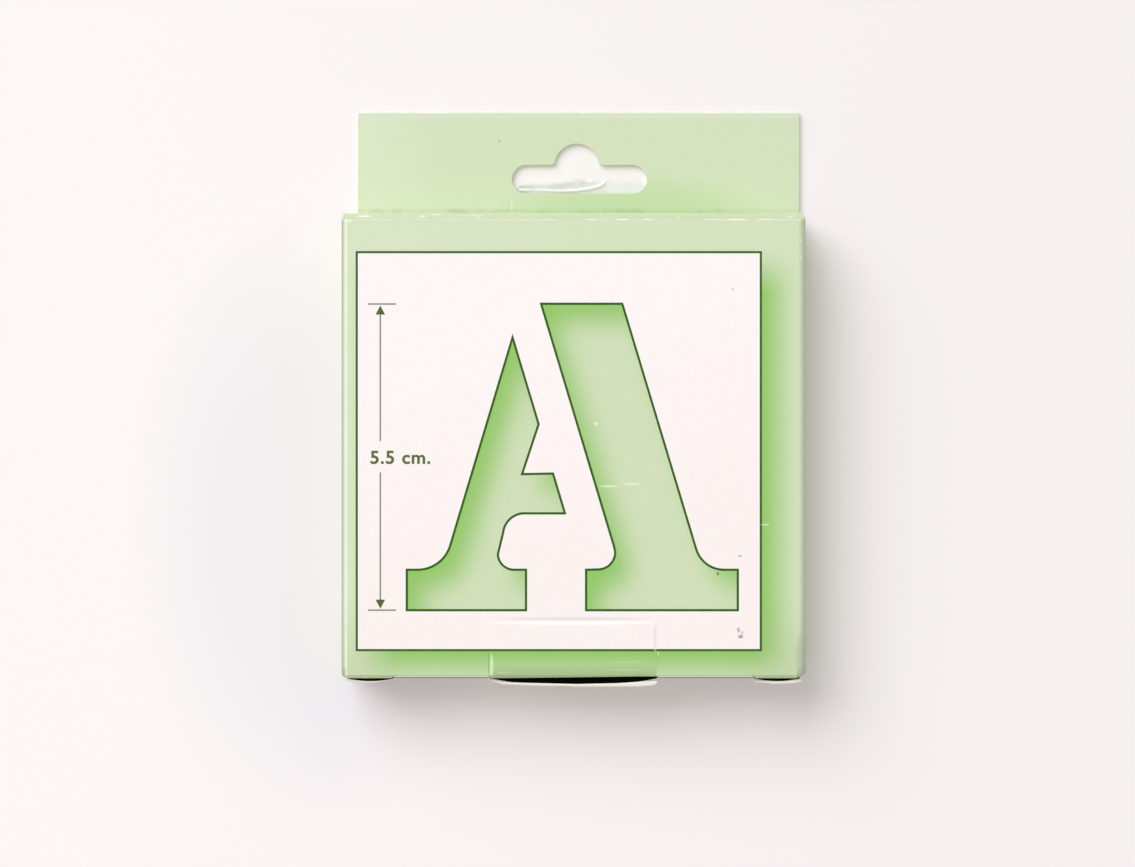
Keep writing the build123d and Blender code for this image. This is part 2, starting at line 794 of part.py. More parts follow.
# Letter cards, the last letter at the bottom of the stack and the first on top
for place, name in enumerate(reversed(list(letter_makers))):
    card_z = back_top + card_gap + place * (card + card_gap)
    turn = radians(card_turn_step * place)
    card_x = card_stagger * cos(turn)
    card_y = stack_centre_y + card_stagger * sin(turn)
    drop = (tilde_gap + tilde_thickness + tilde_wave) / 2 if name == "n_tilde" else 0
    with BuildPart() as stencil:
        with BuildSketch(Plane((card_x, card_y, card_z))):
            RectangleRounded(card_width, card_length, card_corner_radius)
        extrude(amount=card)
        with BuildSketch(Plane((card_x, card_y - drop, card_z))):
            letter_makers[name](letter_width_shares[name] * letter_height)
        extrude(amount=card, mode=Mode.SUBTRACT)
    save(stencil.part, f"stencil_{name}")
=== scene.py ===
"""Looks of a boxed set of lettering stencils: a printed folding carton on a white table."""

import json
from contextlib import contextmanager
from math import pi, radians

import bmesh
import bpy
import numpy as np
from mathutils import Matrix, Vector, noise


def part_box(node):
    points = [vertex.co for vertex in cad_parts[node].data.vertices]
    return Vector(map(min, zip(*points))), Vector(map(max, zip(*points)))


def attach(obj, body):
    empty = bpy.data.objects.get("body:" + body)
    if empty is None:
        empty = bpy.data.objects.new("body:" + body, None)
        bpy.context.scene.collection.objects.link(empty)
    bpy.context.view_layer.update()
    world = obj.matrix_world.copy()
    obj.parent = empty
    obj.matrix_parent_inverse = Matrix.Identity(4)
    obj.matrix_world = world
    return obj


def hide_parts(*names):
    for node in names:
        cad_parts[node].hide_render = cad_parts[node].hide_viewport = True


bl_info = {
    "name": "Boxed lettering stencils",
    "version": (1, 0),
    "blender": (4, 5, 0),
    "location": "View3D > Sidebar > Stencils",
    "description": "Dresses a packed carton of letter cards with printed board, card and wear",
    "category": "Add Mesh",
}

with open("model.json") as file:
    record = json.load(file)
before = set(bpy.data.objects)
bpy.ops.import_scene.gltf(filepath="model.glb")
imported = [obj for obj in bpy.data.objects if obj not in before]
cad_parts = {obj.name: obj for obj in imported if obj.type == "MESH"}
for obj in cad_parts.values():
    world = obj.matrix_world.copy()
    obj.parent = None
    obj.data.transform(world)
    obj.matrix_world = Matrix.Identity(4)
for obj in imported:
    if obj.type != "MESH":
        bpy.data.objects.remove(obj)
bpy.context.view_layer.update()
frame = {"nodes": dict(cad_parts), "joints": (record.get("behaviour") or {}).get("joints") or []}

MM = 0.001
SKIN = 0.01 * MM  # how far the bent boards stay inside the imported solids
INK = 0.02 * MM  # thickness of a printed line that is a piece of its own
CRISP = 0.05 * MM  # half of the soft side of a printed line

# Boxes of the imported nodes, which the pieces take their places from
front_low, front_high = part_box("front_panel")
left_low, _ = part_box("left_side_panel")
right_low, right_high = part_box("right_side_panel")
lid_low, lid_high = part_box("lid")
tongue_low, tongue_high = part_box("tongue")
header_low, header_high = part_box("header_front_layer")
board = front_high.z - front_low.z
flap_crease = next(j for j in frame["joints"] if j["name"] == "bottom_left_crease")
card_nodes = sorted(name for name in frame["nodes"] if name.startswith("stencil_"))


def linear(code):
    """A colour written as six hexadecimal digits, as the shader's linear numbers."""
    shares = [int(code[start:start + 2], 16) / 255 for start in (0, 2, 4)]
    return tuple(s / 12.92 if s <= 0.04045 else ((s + 0.055) / 1.055) ** 2.4 for s in shares)


def colour_prop(name, description, code):
    """A colour that a user may change."""
    return bpy.props.FloatVectorProperty(
        name=name, description=description, default=linear(code), subtype="COLOR", size=3,
        min=0, max=1)


def number_prop(name, description, value, **kind):
    """A number that a user may change, with its unit or limits."""
    return bpy.props.FloatProperty(name=name, description=description, default=value, **kind)


def length_prop(name, description, millimetres):
    """A length that a user may change, which Blender keeps in metres."""
    return number_prop(name, description, millimetres * MM, unit="LENGTH", precision=5)


def share_prop(name, description, value):
    """A share from 0 to 1 that a user may change."""
    return number_prop(name, description, value, subtype="FACTOR", min=0, max=1)


class PrintChoices(bpy.types.PropertyGroup):
    """Inks and places of the print on the carton."""
    ground_pale: colour_prop("Pale ground", "Green all over the carton", "d4e2be")
    ground_deep: colour_prop("Deep ground", "Green of the printed shadows", "88c453")
    field_white: colour_prop("Field", "White field behind the letter", "fdf6f5")
    line_green: colour_prop("Line green", "Outlines of the field and the letter", "2d5a0a")
    mark_green: colour_prop("Mark green", "Dimension mark beside the letter", "4f6228")
    mark_grey: colour_prop("Mark grey", "Bars and shaft of the dimension mark", "85887c")
    field_left: length_prop("Field left", "Left side of the white field", -38.9)
    field_right: length_prop("Field right", "Right side of the white field", 33.62)
    field_bottom: length_prop("Field bottom", "Bottom of the white field", -36.72)
    field_top: length_prop("Field top", "Top of the white field", 34.7)
    line_width: length_prop("Line width", "Width of the outlines", 0.4)
    shadow_right: length_prop("Shadow right", "How far the printed shadows move to the right", 2.9)
    shadow_down: length_prop("Shadow down", "How far the printed shadows move down", 3.3)
    shadow_blur: length_prop("Shadow blur", "How softly the printed shadows end", 2.1)
    letter_x: length_prop("Letter X", "Middle of the printed letter", -0.22)
    letter_y: length_prop("Letter Y", "Middle of the printed letter", -2.05)
    letter_high: length_prop("Letter height", "Height of the printed letter", 55)
    mark_x: length_prop("Mark X", "Shaft of the dimension mark", -34.67)
    mark_half: length_prop("Mark half width", "Half the length of the mark's two bars", 2.53)
    mark_pen: length_prop("Mark pen", "Width of the dimension mark's lines", 0.28)
    arrow_long: length_prop("Arrow length", "Length of the mark's arrowheads", 1.65)
    arrow_half: length_prop("Arrow half width", "Half the width of the mark's arrowheads", 0.86)
    text_high: length_prop("Figure height", "Height of the figures in the dimension mark", 2.35)


class BoardChoices(bpy.types.PropertyGroup):
    """Finish of the carton's board."""
    inside_white: colour_prop("Inside", "Unprinted side of the board", "e9e6e0")
    core_white: colour_prop("Cut edge", "Fibres at the cut edges and in scuffs", "f4f2ea")
    gloss_roughness: share_prop("Print roughness", "Roughness of the varnished print", 0.5)
    plain_roughness: share_prop("Plain roughness", "Roughness of the unprinted board", 0.82)
    wear: share_prop("Wear", "How much of the folds is scuffed", 0.5)
    cell: length_prop("Mesh cell", "Size of the front board's mesh cells", 0.5)
    imprint: length_prop("Imprint", "How high the tongue presses the front board up", 0.06)
    # Painted shadow inside the gaps at the bottom edge
    gap_shadow: colour_prop("Seam", "Dark inside of the gaps at the bottom edge", "030500")


class CardChoices(bpy.types.PropertyGroup):
    """Finish of the letter cards."""
    manila: colour_prop("Manila", "Card seen from a step away", "dcc592")
    manila_dark: colour_prop("Manila flecks", "Darker fibres in the card", "b3945c")
    roughness: share_prop("Roughness", "Roughness of the card", 0.7)


class StageChoices(bpy.types.PropertyGroup):
    """Table, lights and camera."""
    table_white: colour_prop("Table", "Colour of the table", "f1eced")
    sky_tint: colour_prop("Sky tint", "Slightly warm, as beside the green carton", "fffdfa")
    sky_strength: number_prop("Sky", "Even light from all sides", 0.59, min=0)
    lamp_strength: number_prop("Lamp", "Soft lamp at the upper left", 2.04, min=0)
    lamp_angle: number_prop("Lamp size", "Apparent size", radians(50), subtype="ANGLE")
    camera_x: length_prop("Camera X", "Place of the camera over the carton", -1.08)
    camera_y: length_prop("Camera Y", "Place of the camera over the carton", 2.16)
    camera_rise: length_prop("Camera height", "Height of the camera over the front board", 507)
    view_width: length_prop("View width", "Width of the view at the front board", 203.66)


def math_method(operation, swapped=False):
    """A method of a wire that adds a Math node for the wire and another value."""
    def method(self, other):
        first, second = (other, self) if swapped else (self, other)
        return self.paint.node("ShaderNodeMath", {"operation": operation}, {0: first, 1: second})
    return method


class Wire:
    """A value that comes out of a shader node. Sums and products of wires add their own nodes."""

    def __init__(self, paint, socket):
        self.paint = paint
        self.socket = socket

    __add__ = __radd__ = math_method("ADD")
    __sub__ = math_method("SUBTRACT")
    __rsub__ = math_method("SUBTRACT", swapped=True)
    __mul__ = __rmul__ = math_method("MULTIPLY")
    __truediv__ = math_method("DIVIDE")
    larger = math_method("MAXIMUM")

    def __abs__(self):
        return self.paint.node("ShaderNodeMath", {"operation": "ABSOLUTE"}, {0: self})


class Paint:
    """A material that is being mixed."""

    def __init__(self, name):
        self.material = bpy.data.materials.new(name)
        self.material.use_nodes = True
        self.tree = self.material.node_tree
        self.tree.nodes.clear()
        self.place = self.node("ShaderNodeTexCoord", take="Object")
        axes = self.node("ShaderNodeSeparateXYZ", sockets={0: self.place}).socket.node
        self.x, self.y, self.z = (Wire(self, axes.outputs[axis]) for axis in "XYZ")
        self.print_look = bpy.context.scene.print_choices
        self.board_look = bpy.context.scene.board_choices

    def node(self, kind, settings=None, sockets=None, take=0):
        """Any node: its settings first, then the values or wires of its sockets."""
        made = self.tree.nodes.new(kind)
        for key, value in (settings or {}).items():
            setattr(made, key, value)
        for key, value in (sockets or {}).items():
            socket = made.inputs[key]
            if isinstance(value, Wire):
                self.tree.links.new(value.socket, socket)
            elif socket.type == "RGBA":
                socket.default_value = (*value[:3], 1)
            else:
                socket.default_value = value
        return Wire(self, made.outputs[take])

    def ramp(self, value, none_at, all_at):
        """A smooth rise from 0 to 1 between two values, in either direction."""
        return self.node("ShaderNodeMapRange", {"interpolation_type": "SMOOTHSTEP"},
                         {"Value": value, "From Min": none_at, "From Max": all_at})

    def below(self, value, limit, soft=CRISP):
        """1 below a limit and 0 above it, with a soft step."""
        return self.ramp(value, limit + soft, limit - soft)

    def band(self, value, middle, half, soft=CRISP):
        """1 within half of the middle, with soft sides."""
        return self.below(abs(value - middle), half, soft)

    def beside(self, value, edge, none_at, all_at):
        """A smooth rise from 0 to 1 whose two ends are given in millimetres from an edge."""
        return self.ramp(value, edge + none_at * MM, edge + all_at * MM)

    def mix(self, amount, first, second):
        """A colour between two colours."""
        return self.node("ShaderNodeMix", {"data_type": "RGBA"},
                         {0: amount, 6: first, 7: second}, take=2)

    def tint(self, colour, amount, code):
        """A colour turned by the amount towards one that is written in hexadecimal digits."""
        return self.mix(amount, colour, linear(code))

    def cloud(self, grain, detail=3.0, place=None):
        """Cloudy noise from 0 to 1, with patches of about the grain's size in millimetres."""
        return self.node("ShaderNodeTexNoise", {"noise_dimensions": "3D"},
                         {"Vector": place or self.place, "Scale": 1 / (grain * MM),
                          "Detail": detail, "Roughness": 0.6})

    def streak(self, grain, stretch):
        """Noise drawn out along an axis, as fibres are."""
        spread = self.node("ShaderNodeMapping",
                           sockets={"Vector": self.place, "Scale": stretch})
        return self.cloud(grain, place=spread)

    def facing(self, direction, at_least=0.5):
        """1 where the surface faces the given way."""
        turned = self.node("ShaderNodeTexCoord", take="Normal")
        along = self.node("ShaderNodeVectorMath", {"operation": "DOT_PRODUCT"},
                          {0: turned, 1: direction}, take="Value")
        return self.ramp(along, at_least - 0.05, at_least + 0.05)

    def spots(self, colour, marks, share=1.0):
        """Small soft marks over a colour. Their places and half sizes are in millimetres."""
        for spot_x, spot_y, half_x, half_y, strength, tone in marks:
            across = (self.x - spot_x * MM) / (half_x * MM)
            along = (self.y - spot_y * MM) / (half_y * MM)
            spot = self.ramp(across * across + along * along, 1.2, 0.1)
            colour = self.tint(colour, spot * strength * share, tone)
        return colour

    def attribute(self, name):
        """A number that the mesh carries at its points."""
        return self.node("ShaderNodeAttribute", {"attribute_name": name}, take="Fac")

    def finish(self, base, roughness, height, depth, specular=0.5):
        """Ends the material. The bump's depth is in millimetres."""
        bump = self.node("ShaderNodeBump",
                         sockets={"Strength": 1.0, "Distance": depth * MM, "Height": height})
        shader = self.node("ShaderNodeBsdfPrincipled",
                           sockets={"Base Color": base, "Roughness": roughness, "Normal": bump,
                                    "Specular IOR Level": specular})
        output = self.tree.nodes.new("ShaderNodeOutputMaterial")
        self.tree.links.new(shader.socket, output.inputs["Surface"])
        return self.material


def field_distance(paint):
    """How far a point lies outside the white field, negative inside it."""
    look = paint.print_look
    across, along = (
        abs(value - (low + high) / 2) - (high - low) / 2
        for value, low, high in ((paint.x, look.field_left, look.field_right),
                                 (paint.y, look.field_bottom, look.field_top)))
    return across.larger(along)


def field_shadow(paint):
    """Printed shadow of the white field, moved to the right and down."""
    look = paint.print_look
    half = 2.3 * look.shadow_blur
    left = look.field_left + look.shadow_right
    right = look.field_right + look.shadow_right + look.line_width
    bottom, top = look.field_bottom - look.shadow_down, look.field_top - look.shadow_down
    across, along = (
        paint.ramp(value, low - half, low + half) * paint.ramp(value, high + half, high - half)
        for value, low, high in ((paint.x, left, right), (paint.y, bottom, top)))
    return across * along


def dimension_mark(paint):
    """The mark's arrowheads, and its bars and shaft, as two masks. Both ends are alike."""
    look = paint.print_look
    top = look.letter_y + look.letter_high / 2 - 0.05 * MM
    bottom = look.letter_y - look.letter_high / 2
    middle, half = (top + bottom) / 2, (top - bottom) / 2
    half_pen, half_shaft = look.mark_pen / 2, half - look.arrow_long
    aside, along = abs(paint.x - look.mark_x), abs(paint.y - middle)
    bars = paint.band(paint.x, look.mark_x + 0.3 * MM, look.mark_half)
    bars *= paint.band(along, half, half_pen)
    depth = half - 0.25 * MM - along
    heads = paint.below(aside - depth * (look.arrow_half / look.arrow_long), 0)
    heads *= paint.below(depth, look.arrow_long)
    figures_gap = paint.band(paint.y, look.letter_y + 0.05 * MM, 2.8 * MM)
    shaft = paint.below(aside, half_pen) * paint.below(along, half_shaft)
    return heads, bars.larger(shaft * (1 - figures_gap))


def scuffs(paint, places, grain, amount):
    """Patches where a fold or an edge is worn down to the fibres."""
    rare = 0.62 - 0.22 * amount
    return places * paint.ramp(paint.cloud(grain), rare, rare + 0.1)


def coated(paint, colour, worn):
    """Varnished print over board, with fibres where it is worn."""
    mottle = paint.cloud(1.6, detail=4)
    mottle_green = (0.42, 0.52, 0.30)
    colour = paint.mix(paint.ramp(mottle, 0.35, 0.75) * 0.035, colour, mottle_green)
    colour = paint.mix(worn, colour, paint.board_look.core_white)
    fibres = paint.cloud(0.18, detail=2)
    roughness = paint.board_look.gloss_roughness + 0.08 * (mottle - 0.5) + 0.3 * worn
    return paint.finish(colour, roughness, fibres * 0.35 + mottle, 0.012, specular=0.3)


def front_print():
    """Print of the sleeve: green ground, white field, letter and dimension mark."""
    paint = Paint("sleeve_print")
    look, wear = paint.print_look, paint.board_look.wear
    lighter = paint.ramp(paint.x + paint.y * 0.4, 60 * MM, -60 * MM)
    ground = paint.tint(look.ground_pale, lighter * 0.45, "dde8cb")
    ground = paint.mix(field_shadow(paint), ground, look.ground_deep)
    low_down = paint.beside(paint.y, front_low.y, 16, 0)
    low_down *= paint.ramp(abs(paint.x), 26 * MM, 40 * MM)
    ground = paint.tint(ground, low_down * 0.35, "a9bd88")
    over_tongue = paint.beside(abs(paint.x), tongue_high.x, 0.1, -0.3)
    over_tongue *= paint.beside(paint.y, front_low.y, 3, 0.6)
    ground = paint.tint(ground, over_tongue * 0.6, "96ab74")
    outside = field_distance(paint)
    lower = paint.ramp(paint.y - paint.x * 0.3, 30 * MM, -30 * MM)
    field = paint.tint(look.field_white, lower, "fbf2f0")
    colour = paint.mix(paint.below(outside, 0), ground, field)
    line = paint.below(abs(outside), look.line_width / 2)
    colour = paint.mix(line, colour, look.line_green)
    filling = paint.mix(paint.attribute("letter_shade") * 0.92, linear("d1e0ba"), look.ground_deep)
    in_letter = paint.below(paint.attribute("letter_distance"), 0, 0.1 * MM)
    colour = paint.mix(in_letter, colour, filling)
    heads, lines = dimension_mark(paint)
    colour = paint.mix(lines, colour, look.mark_grey)
    colour = paint.mix(heads, colour, look.mark_green)
    upper = paint.beside(paint.z, front_high.z, -1.4, -0.9)
    colour = paint.spots(colour, front_marks_and_painted_light, upper)
    # Painted highlight along the left crease, uneven in strength
    highlight_unevenness = 0.7 + 0.3 * paint.ramp(paint.cloud(4), 0.35, 0.6)
    shine = paint.band(paint.x, -(front_high.x + 0.1 * MM), 0.14 * MM, 0.14 * MM) * highlight_unevenness
    colour = paint.tint(colour, shine * 0.75, "fbffee")
    left_shade = paint.beside(paint.x, -front_high.x, -0.35, -0.8) * upper
    colour = paint.tint(colour, left_shade * 0.75, "9aa386")
    right_shade = paint.beside(paint.x, front_high.x, -0.4, 0.5) * upper
    colour = paint.tint(colour, right_shade * 0.62, "b0b9a2")
    edge = paint.beside(paint.y, front_high.y, -0.4, -0.1)
    # Painted highlight along the top edge, in patches
    patchy = paint.ramp(paint.cloud(8), 0.4, 0.6)
    colour = paint.tint(colour, edge * patchy * 0.45, "ecf6da")
    crease = paint.band(abs(paint.x), front_high.x + 0.15 * MM, 0.2 * MM, 0.1 * MM)
    bottom_edge = paint.beside(paint.y, front_low.y, 0.3, 0.05)
    # Painted shade along the rolled bottom edge
    painted_edge_shade = paint.beside(paint.y, front_low.y, 0.7, 0.38) * upper
    colour = paint.tint(colour, painted_edge_shade * 0.5, "7f8f64")
    worn = scuffs(paint, crease * 0.5, 1.8, 0.2 * wear)
    worn = worn.larger(scuffs(paint, edge * 0.6, 1.6, 0.1 * wear))
    worn = worn.larger(scuffs(paint, bottom_edge * 0.4, 1.2, 0.2 * wear))
    return coated(paint, colour, worn)


# Specks, scratches and worn dashes on the front, with the painted highlights and painted shade
# that draw the tongue's imprint, and painted shade at the lower corners. Each row has the mark's
# middle and its half sizes in millimetres, its strength and its colour.
front_marks_and_painted_light = (
    (28.6, 28.1, 0.3, 0.35, 0.4, "a9a4a8"),
    (25.9, -23, 0.32, 0.4, 0.8, "5c7f3c"),
    (29.9, -19.8, 0.5, 0.25, 0.6, "93a37c"),
    (29.6, -33.1, 0.35, 0.6, 0.6, "8f8a90"),
    (30.3, -33.6, 0.3, 0.4, 0.45, "9a949c"),
    (30, -34.3, 0.55, 0.4, 0.75, "79747c"),
    (34.4, -14.2, 0.9, 0.2, 0.6, "e6f0d8"),
    (4, 3.9, 0.35, 0.35, 0.8, "f4f8ee"),
    (6.4, -7.3, 2, 0.22, 0.7, "f2f6ea"),
    (10.4, -6.9, 1.9, 0.2, 0.7, "f2f6ea"),
    (-5.4, 8.2, 0.3, 0.7, 0.5, "e3eed2"),
    # Painted shade and painted highlight along the imprint of the tongue's tip
    (0, -31.1, 15.5, 0.42, 0.8, "e6dfdf"),
    (0, -31.85, 15.5, 0.4, 1, "ffffff"),
    # Painted shade and painted highlights along the imprint's sides
    (14.65, -34.5, 0.35, 2.8, 0.8, "ece2e6"),
    (15.2, -37.3, 0.22, 0.4, 0.45, "f2f8e6"),
    (-15.2, -39.2, 0.2, 2.6, 0.6, "7f9d60"),
    (-14.7, -39.6, 0.4, 2.6, 0.75, "d9f4bb"),
    (15.1, -41.4, 0.3, 0.5, 0.5, "e6f2d2"),
    # Painted shade at the rounded lower corners
    (41, -38, 1.3, 5, 0.3, "8b937e"),
    (41, -41, 1.1, 1.3, 0.4, "7d8570"),
    (-41.2, -40.6, 0.6, 1, 0.4, "8b937e"),
    (-38, -41.4, 3.5, 0.16, 0.5, "d5dfc0"),
    (-9, 33.2, 5, 0.3, 0.25, "f4efee"),
    (9, -38.9, 5, 0.16, 0.45, "c2dba3"),
    (9.5, -40.3, 4.5, 0.16, 0.45, "c9dbb4"),
    (-12.5, -40.7, 1.6, 0.22, 0.5, "cadab9"),
    (-40.3, 40.3, 0.7, 0.35, 0.7, "f3f8e8"),
    (-4.1, 40.6, 1.4, 0.15, 0.5, "f6faea"),
    (3.1, 40.6, 1.1, 0.17, 0.8, "f9fcf2"),
    (8.7, 40.6, 1.4, 0.2, 0.9, "fdfef8"),
    (13.2, 40.6, 1.1, 0.16, 0.75, "f9fcf2"),
    (25.3, 40.6, 2, 0.16, 0.7, "f6faea"),
    (29.3, 40.6, 2.2, 0.22, 0.95, "fdfef8"),
    (34.5, 40.6, 2, 0.17, 0.8, "f9fcf2"),
)

# White scuffs where the lid rolls over
lid_marks = (
    (-37.6, 41.2, 1.5, 0.17, 0.8, "f9fcf2"),
    (-27.1, 41.2, 0.7, 0.15, 0.7, "f6faea"),
    (-24.6, 41.5, 0.9, 0.16, 0.6, "f2f8e4"),
    (-18, 41.3, 2.6, 0.12, 0.35, "eef6dd"),
    (38.9, 41.1, 0.9, 0.14, 0.5, "f2f8e4"),
)

# Specks and scratches on the header
header_marks = (
    (-13.6, 55.9, 0.25, 0.35, 0.5, "8f9c7c"),
    (-11.3, 43.9, 0.16, 1.6, 0.55, "eef5e2"),
    (-11.3, 42.4, 0.2, 0.5, 0.9, "ffffff"),
    (13.3, 48.3, 0.3, 0.5, 0.8, "f4f8ec"),
)

# Soft shade on the table at the left of the carton
table_shade = (
    (-46, -14, 34, 56, 0.6, "e9e5ea"),
    (-44, -14, 14, 50, 0.35, "e9e5ea"),
)


def header_material():
    """Print of the header: paler at the left and greener under the slot, with a painted highlight
    and a thin painted shade line along the fold, and painted shade along its bottom.
    """
    paint = Paint("header_print")
    colour = paint.tint(linear("d2e0bd"), paint.beside(paint.x, 0, -22, -40), "d9e6c6")
    across = (paint.x - 10 * MM) / (26 * MM)
    along = (paint.y - header_low.y) / (9 * MM)
    glow = paint.ramp(across * across + along * along, 1.1, 0.0)
    colour = paint.tint(colour, glow * 0.34, "a2cd78")
    fold = header_high.y
    # Painted highlight over the rounded fold, with a thin line of painted shade within it
    pale = paint.beside(paint.y, fold, -1.5, -0.9)
    colour = paint.tint(colour, pale * 0.7, "dde4d0")
    line = paint.band(paint.y, fold - 0.42 * MM, 0.06 * MM, 0.14 * MM)
    colour = paint.tint(colour, line * 0.35, "a9b39c")
    # Painted shade where the header meets the lid, uneven along its length
    painted_contact_shade = paint.beside(paint.y, header_low.y, 1.8, 1.25)
    at_left = 0.1 + 0.2 * paint.ramp(paint.cloud(5), 0.45, 0.6)
    colour = paint.tint(colour, painted_contact_shade * at_left, "839465")
    colour = paint.spots(colour, header_marks)
    fold_edge = paint.beside(paint.y, fold, -0.35, -0.1) * 0.5
    return coated(paint, colour, scuffs(paint, fold_edge, 2.4, paint.board_look.wear))


def plain_fibres(paint):
    """Fibres of the unprinted board, and its colour with them."""
    fibres = paint.streak(0.5, (1, 3, 3))
    white = paint.board_look.inside_white
    return fibres, paint.tint(white, paint.ramp(fibres, 0.3, 0.8) * 0.2, "cfc9bd")


def two_sided(name, direction, at_least=0.5, edge_y=None):
    """Board printed on the side that faces the given way, with painted shade on the fold past
    edge_y.
    """
    paint = Paint(name)
    printed = paint.facing(direction, at_least)
    fibres, plain = plain_fibres(paint)
    print_colour = paint.print_look.ground_pale
    if edge_y is not None:
        # Painted shade on the fold past edge_y
        past = paint.beside(paint.y, edge_y, 0.15, -0.1)
        print_colour = paint.tint(print_colour, past * 0.85, "77845f")
    colour = paint.mix(printed, plain, print_colour)
    roughness = paint.board_look.plain_roughness - 0.3 * printed
    return paint.finish(colour, roughness, fibres, 0.02)


def plain_board(name, gap_z=None):
    """Unprinted board, slightly grey. Its upward faces above gap_z, which lie in the gap at the
    bottom edge, are painted dark as the gap's shadow.
    """
    paint = Paint(name)
    fibres, colour = plain_fibres(paint)
    roughness = paint.board_look.plain_roughness + 0.06 * fibres
    if gap_z is None:
        return paint.finish(colour, roughness, fibres, 0.02)
    # Painted shadow of the gap at the bottom edge
    gap = paint.facing((0, 0, 1)) * paint.beside(paint.z, gap_z, -0.1, 0.1)
    gap *= paint.beside(paint.y, front_low.y, 0.6, 0.4)
    colour = paint.mix(gap, colour, paint.board_look.gap_shadow)
    return paint.finish(colour, roughness, fibres, 0.02, specular=0.05)


def cut_edge():
    """Die-cut edge of the board, where its fibres show."""
    paint = Paint("cut_edge")
    fibres = paint.cloud(0.12)
    flecks = paint.ramp(fibres, 0.35, 0.7) * 0.4
    colour = paint.tint(paint.board_look.core_white, flecks, "d3d0c2")
    return paint.finish(colour, 0.9, fibres, 0.03)


def card_material():
    """Smooth manila card with fine darker flecks and a slight cloudiness."""
    look = bpy.context.scene.card_choices
    paint = Paint("letter_card")
    clouds = paint.cloud(9, detail=4)
    colour = paint.tint(look.manila, paint.ramp(clouds, 0.3, 0.8) * 0.25, "e8d6ab")
    flecks = paint.ramp(paint.streak(0.35, (1, 2.5, 8)), 0.66, 0.78)
    colour = paint.mix(flecks * 0.5, colour, look.manila_dark)
    fibres = paint.cloud(0.2)
    return paint.finish(colour, look.roughness + 0.1 * (clouds - 0.5), fibres, 0.015)


def bring_forward(piece):
    """Makes a piece the only selected and active one."""
    bpy.ops.object.select_all(action="DESELECT")
    piece.select_set(True)
    bpy.context.view_layer.objects.active = piece


def new_grid(name, centre, size_x, size_y, cells_x, cells_y, turn=(0, 0, 0)):
    """A grid of the given size at its place, turned as asked."""
    bpy.ops.mesh.primitive_grid_add(x_subdivisions=cells_x, y_subdivisions=cells_y, size=1)
    piece = bpy.context.active_object
    piece.name = name
    piece.data.name = name
    piece.scale = (size_x, size_y, 1)
    piece.rotation_euler = turn
    piece.location = centre
    bpy.ops.object.transform_apply()
    return piece


@contextmanager
def edit_mode():
    """Edit mode for as long as the block lasts."""
    bpy.ops.object.mode_set(mode="EDIT")
    yield
    bpy.ops.object.mode_set(mode="OBJECT")


def pick_rim(piece, wanted):
    """Selects the open edges whose middle passes the test. The piece is in edit mode."""
    bpy.ops.mesh.select_mode(type="EDGE")
    bpy.ops.mesh.select_all(action="DESELECT")
    shape = bmesh.from_edit_mesh(piece.data)
    for edge in shape.edges:
        edge.select_set(edge.is_boundary and wanted((edge.verts[0].co + edge.verts[1].co) / 2))
    bmesh.update_edit_mesh(piece.data)


def roll(steps, degrees, centre, axis):
    """Spins what is selected right-handed round an axis, as board bends round a crease."""
    bpy.ops.mesh.spin(steps=steps, angle=-radians(degrees), center=centre, axis=axis)


def draw_out(way, steps=1):
    """Extrudes what is selected, in equal steps."""
    part = Vector(way) / steps
    for _ in range(steps):
        bpy.ops.mesh.extrude_region_move(TRANSFORM_OT_translate={"value": part})


def points_of(piece):
    """All points of a piece's mesh, as rows of x, y and z."""
    flat = np.empty(3 * len(piece.data.vertices), np.float32)
    piece.data.vertices.foreach_get("co", flat)
    return flat.reshape(-1, 3).astype(float)


def put_points(piece, points):
    """Writes all points back to a piece's mesh."""
    piece.data.vertices.foreach_set("co", points.astype(np.float32).ravel())
    piece.data.update()


def face_outwards(piece, way):
    """Turns all faces over if the ones that matter look against the given way."""
    total = sum((face.normal * face.area for face in piece.data.polygons), Vector())
    if total.dot(Vector(way)) < 0:
        with edit_mode():
            bpy.ops.mesh.select_all(action="SELECT")
            bpy.ops.mesh.flip_normals()


def paint_piece(piece, *materials):
    """Gives a piece its materials in order."""
    piece.data.materials.clear()
    for material in materials:
        piece.data.materials.append(material)


def give_thickness(piece, thickness, materials, even=True):
    """Makes a sheet a closed board with three materials: outside, inside and at its rim."""
    paint_piece(piece, *materials)
    bring_forward(piece)
    solid = piece.modifiers.new("thickness", "SOLIDIFY")
    solid.thickness = thickness
    solid.offset = -1
    solid.use_even_offset = even
    solid.material_offset = 1
    solid.material_offset_rim = 2
    bpy.ops.object.modifier_apply(modifier=solid.name)
    bpy.ops.object.shade_smooth_by_angle(angle=radians(35))


def letter_cut():
    """Outline of the letter cut through the top card, as segments about the card's middle."""
    low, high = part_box("stencil_a")
    middle, half = (low + high) / 2, (high - low) / 2
    mesh = frame["nodes"]["stencil_a"].data
    margin = 3 * MM
    segments = []
    for face in mesh.polygons:
        corners = (mesh.vertices[i].co - middle for i in face.vertices)
        upper = [p for p in corners if p.z > 0]
        inner = all(abs(p.x) < half.x - margin and abs(p.y) < half.y - margin for p in upper)
        if abs(face.normal.z) < 0.5 and len(upper) == 2 and inner:
            segments.append([upper[0].xy[:], upper[1].xy[:]])
    return np.array(segments)


